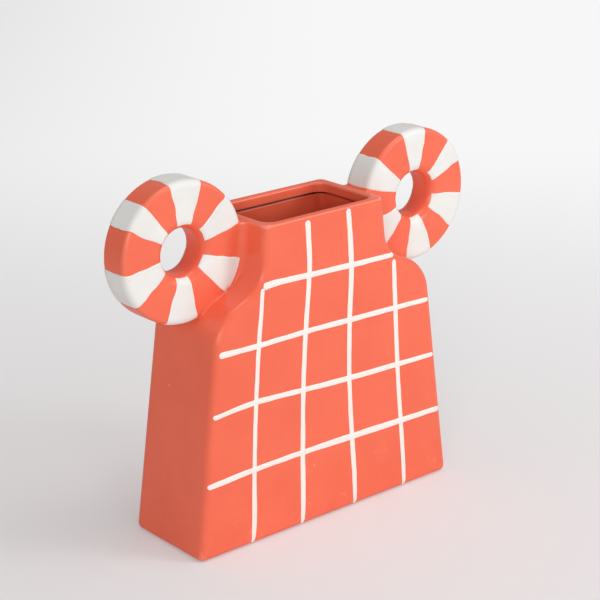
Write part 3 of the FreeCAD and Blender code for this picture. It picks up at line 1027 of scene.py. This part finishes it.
def fired_surface_group():
    """Clouds, grain, specks and scuffs of a fired surface, as a shader node group."""
    tree = bpy.data.node_groups.new("fired_surface", "ShaderNodeTree")
    for name in ("Cloud Size", "Grain Size", "Speck Size", "Speck Share"):
        tree.interface.new_socket(name, in_out="INPUT", socket_type="NodeSocketFloat")
    for name in ("Cloud", "Grain", "Speck", "Scuff"):
        tree.interface.new_socket(name, in_out="OUTPUT", socket_type="NodeSocketFloat")
    given = add_node(tree, "NodeGroupInput", {}).outputs
    place = add_node(tree, "ShaderNodeTexCoord", {}).outputs["Object"]
    cloud = textured(tree, "ShaderNodeTexNoise", place, given["Cloud Size"], CLOUD_LOOK)
    grain = textured(tree, "ShaderNodeTexNoise", place, given["Grain Size"], GRAIN_LOOK)
    cells = textured(tree, "ShaderNodeTexVoronoi", place, given["Speck Size"], {})
    dot = maths(tree, "LESS_THAN", cells["Distance"], SPECK_RADIUS)
    colour = add_node(tree, "ShaderNodeSeparateColor", {"Color": cells["Color"]})
    rare = maths(tree, "LESS_THAN", colour.outputs["Red"], given["Speck Share"])
    outputs = {
        "Cloud": cloud["Fac"],
        "Grain": grain["Fac"],
        "Speck": maths(tree, "MULTIPLY", dot, rare),
        "Scuff": scuffs(tree, place),
    }
    add_node(tree, "NodeGroupOutput", outputs)
    return tree


FIRED_SURFACE = fired_surface_group()
print("group made with", len(FIRED_SURFACE.nodes), "nodes")

# %% [markdown]
# ## The finishes
#
# Each material places the group with its own numbers, and keeps its shader to itself. The clay has
# two tints more: a lighter one on its edges, partly glaze that runs thin and partly a painted
# highlight, and a near black painted shade in the groove under the lip. The lines of the grid were
# drawn with thick, warm slip, and the stripes were filled in with a thinner and greyer coat of it.

# %% Materials
CLOUD_LOW = 0.35
CLOUD_HIGH = 0.65
SCUFF_SHARE = 0.45
ROUGHNESS_SPREAD = 0.05
GRAIN_HEIGHT = 0.2 * MM
SPECULAR = 0.4


def clouded(tree, cloud, thin, thick):
    """Fades from the thin tone to the thick one with the clouds."""
    ramp = add_node(tree, "ShaderNodeValToRGB", {"Fac": cloud})
    ramp.color_ramp.elements[0].position = CLOUD_LOW
    ramp.color_ramp.elements[0].color = thin
    ramp.color_ramp.elements[1].position = CLOUD_HIGH
    ramp.color_ramp.elements[1].color = thick
    return ramp.outputs["Color"]


def mixed(tree, share, tone, colour):
    """Turns a tone into another colour by a share from 0 to 1."""
    inputs = {"Factor": share, "A": tone, "B": colour}
    return add_node(tree, "ShaderNodeMix", inputs, data_type="RGBA").outputs["Result"]


def fired_material(name, thin, thick, speck_colour, tints, roughness, bump, sizes):
    """A matt fired finish between two close tones, with specks, scuffs and a fine grain."""
    material = bpy.data.materials.new(name)
    material.use_nodes = True
    tree = material.node_tree
    surface = add_node(tree, "ShaderNodeGroup", sizes, node_tree=FIRED_SURFACE).outputs
    marked = maths(tree, "MULTIPLY_ADD", surface["Scuff"], SCUFF_SHARE, surface["Speck"])
    tone = mixed(tree, marked, clouded(tree, surface["Cloud"], thin, thick), speck_colour)
    for attribute, colour in tints.items():
        share = add_node(tree, "ShaderNodeAttribute", {}, attribute_name=attribute)
        tone = mixed(tree, share.outputs["Fac"], tone, colour)
    grain = surface["Grain"]
    ends = (roughness - ROUGHNESS_SPREAD, roughness + ROUGHNESS_SPREAD)
    relief = {"Strength": bump, "Distance": GRAIN_HEIGHT, "Height": grain}
    shader_inputs = {
        "Base Color": tone,
        "Roughness": mapped(tree, grain, 0, 1, *ends),
        "Normal": add_node(tree, "ShaderNodeBump", relief).outputs["Normal"],
        "Specular IOR Level": SPECULAR,
    }
    feed(tree, tree.nodes["Principled BSDF"], shader_inputs)
    return material


coral = fired_material(
    "coral_glaze",
    thin=(0.91, 0.158, 0.080, 1),
    thick=(0.87, 0.141, 0.070, 1),
    speck_colour=(0.93, 0.30, 0.19, 1),
    # Edge tint: thin glaze and painted highlight. Groove tint: painted shade.
    tints={"thin_glaze_and_highlight": (0.95, 0.26, 0.17, 1), "painted_groove_shade": (0.05, 0.001, 0.001, 1)},
    roughness=0.31,
    bump=0.06,
    sizes={"Cloud Size": 26.0, "Grain Size": 800.0, "Speck Size": 240.0, "Speck Share": 0.003},
)
SLIP_SIZES = {"Cloud Size": 60.0, "Grain Size": 1000.0, "Speck Size": 300.0, "Speck Share": 0.01}
line_white = fired_material(
    "white_slip_line",
    thin=(0.93, 0.84, 0.785, 1),
    thick=(0.95, 0.87, 0.82, 1),
    speck_colour=(0.80, 0.70, 0.62, 1),
    tints={},
    roughness=0.55,
    bump=0.15,
    sizes=SLIP_SIZES,
)
stripe_white = fired_material(
    "white_slip_stripe",
    thin=(0.80, 0.79, 0.755, 1),
    thick=(0.83, 0.83, 0.80, 1),
    speck_colour=(0.72, 0.68, 0.62, 1),
    tints={},
    roughness=0.5,
    bump=0.15,
    sizes=SLIP_SIZES,
)
finishes = (([clay], coral), (grid_lines, line_white), (ring_stripes, stripe_white))
for things, material in finishes:
    for thing in things:
        thing.data.materials.clear()
        thing.data.materials.append(material)
    print(material.name, "on", len(things), "pieces")

# %% [markdown]
# ## Studio floor
#
# The photograph was taken in a white studio, on pale paper that runs up into the backdrop. The
# floor and its cove are one curved sheet: a profile of a few points, extruded sideways and rounded
# where it turns up. The sheet is turned to face the camera.

# %% Floor
COVE_RADIUS = 0.6
COVE_SEGMENTS = 24
STAGE_HALF_WIDTH = 4
STAGE_FRONT = -3
STAGE_BACK = 2.2
STAGE_HEIGHT = 3


def make_stage():
    """A floor that curves up into a backdrop behind the vase, as seen by the camera."""
    mesh = bmesh.new()
    profile = [(STAGE_FRONT, 0), (STAGE_BACK, 0), (STAGE_BACK, STAGE_HEIGHT)]
    verts = [mesh.verts.new((-STAGE_HALF_WIDTH, along, up)) for along, up in profile]
    edges = [mesh.edges.new(pair) for pair in zip(verts, verts[1:])]
    pulled = bmesh.ops.extrude_edge_only(mesh, edges=edges)["geom"]
    moved = [item for item in pulled if isinstance(item, bmesh.types.BMVert)]
    bmesh.ops.translate(mesh, verts=moved, vec=(2 * STAGE_HALF_WIDTH, 0, 0))
    fold = [edge for edge in mesh.edges if len(edge.link_faces) == 2]
    bevelled(mesh, fold, COVE_RADIUS, COVE_SEGMENTS)
    turn = Matrix.Rotation(-CAMERA_AZIMUTH, 3, "Z")
    bmesh.ops.rotate(mesh, verts=mesh.verts, cent=(0, 0, 0), matrix=turn)
    return finished_object(mesh, "studio_floor")


floor = make_stage()
floor.data.shade_smooth()
print("floor:", len(floor.data.polygons), "faces")

# %% [markdown]
# ## Studio paper
#
# Near the vase the paper is a plain pale surface that takes the shadow. With the distance it turns
# into an even glow, which only the camera sees, so the background is clear without more light on
# the vase. Light Path tells the camera's own rays from all others. The glow is a little greyer at
# the left, as in the photograph.

# %% Paper
FLOOR_COLOUR = (0.835, 0.805, 0.812, 1)
PAPER_ROUGHNESS = 0.9
PAPER_SPECULAR = 0.1
CLEAR_MIDDLE = (-0.35, -0.45, 0)
CLEAR_FROM = 0.5
CLEAR_TO = 1.5
CLEAR_NEAR = 0.24
CLEAR_FAR = 1
LEFT_END = -0.8
RIGHT_END = 0.1
SHADED_GLOW_LEFT = 0.72
CLEAR_RIGHT = 0.93


def measured(tree, operation, place, other):
    """A number that a Vector Math node finds from a place and another vector."""
    inputs = {0: place, 1: other}
    return add_node(tree, "ShaderNodeVectorMath", inputs, operation=operation).outputs["Value"]


def paper_material():
    """White studio paper, with a share of glow that grows with the distance."""
    material = bpy.data.materials.new("studio_paper")
    material.use_nodes = True
    tree = material.node_tree
    paper = tree.nodes["Principled BSDF"]
    paper.inputs["Base Color"].default_value = FLOOR_COLOUR
    paper.inputs["Roughness"].default_value = PAPER_ROUGHNESS
    paper.inputs["Specular IOR Level"].default_value = PAPER_SPECULAR
    place = add_node(tree, "ShaderNodeTexCoord", {}).outputs["Object"]
    away = measured(tree, "DISTANCE", place, CLEAR_MIDDLE)
    clear = mapped(tree, away, CLEAR_FROM, CLEAR_TO, CLEAR_NEAR, CLEAR_FAR, "SMOOTHSTEP")
    seen = add_node(tree, "ShaderNodeLightPath", {}).outputs["Is Camera Ray"]
    share = maths(tree, "MULTIPLY", clear, seen)
    # Painted shade: the glow is darker at the left, away from the key light at the right.
    to_right = (math.cos(CAMERA_AZIMUTH), -math.sin(CAMERA_AZIMUTH), 0)
    aside = measured(tree, "DOT_PRODUCT", place, to_right)
    level = mapped(tree, aside, LEFT_END, RIGHT_END, SHADED_GLOW_LEFT, CLEAR_RIGHT, "SMOOTHSTEP")
    glow = add_node(tree, "ShaderNodeEmission", {"Strength": level})
    both = {"Fac": share, 1: paper.outputs[0], 2: glow.outputs[0]}
    mix = add_node(tree, "ShaderNodeMixShader", both)
    feed(tree, tree.nodes["Material Output"], {"Surface": mix.outputs[0]})
    return material


floor.data.materials.append(paper_material())
print("paper laid on", floor.name)

# %% [markdown]
# ## Lights
#
# Four soft lamps face the vase: the key light at the right, a weaker front light, a fill light far
# out at the left, and a wide lamp above that lights the rim, the shoulders and the tops of the
# rings. The white walls of the studio are an even, weak light from all round. It keeps the shadows
# pale.

# %% Lights
WORLD_STRENGTH = 0.365

# Each lamp has a place and a width in metres, and a power in watts.
LAMPS = {
    "key_light": {"place": Vector((0.78, -1.05, 0.55)), "power": 5.5, "width": 0.4},
    "fill_light": {"place": Vector((-1.7, -1.5, 0.8)), "power": 12, "width": 0.5},
    "front_light": {"place": Vector((-0.7, -2.0, 0.45)), "power": 5.2, "width": 0.4},
    "top_light": {"place": Vector((0.25, -0.5, 2.1)), "power": 12, "width": 1.0},
}


def soft_light(name, place, power, width):
    """A square area light that faces the middle of the vase."""
    data = bpy.data.lights.new(name, "AREA")
    data.energy = power
    data.size = width
    light = bpy.data.objects.new(name, data)
    bpy.context.scene.collection.objects.link(light)
    turn = (place - CAMERA_TARGET).to_track_quat("Z", "Y").to_matrix().to_4x4()
    light.matrix_world = Matrix.Translation(place) @ turn


for name, lamp in LAMPS.items():
    soft_light(name, **lamp)
world = bpy.data.worlds.new("studio_air")
world.use_nodes = True
air = world.node_tree.nodes["Background"]
air.inputs["Color"].default_value = (1, 1, 1, 1)
air.inputs["Strength"].default_value = WORLD_STRENGTH
bpy.context.scene.world = world
print(len(LAMPS), "lamps and the studio air")
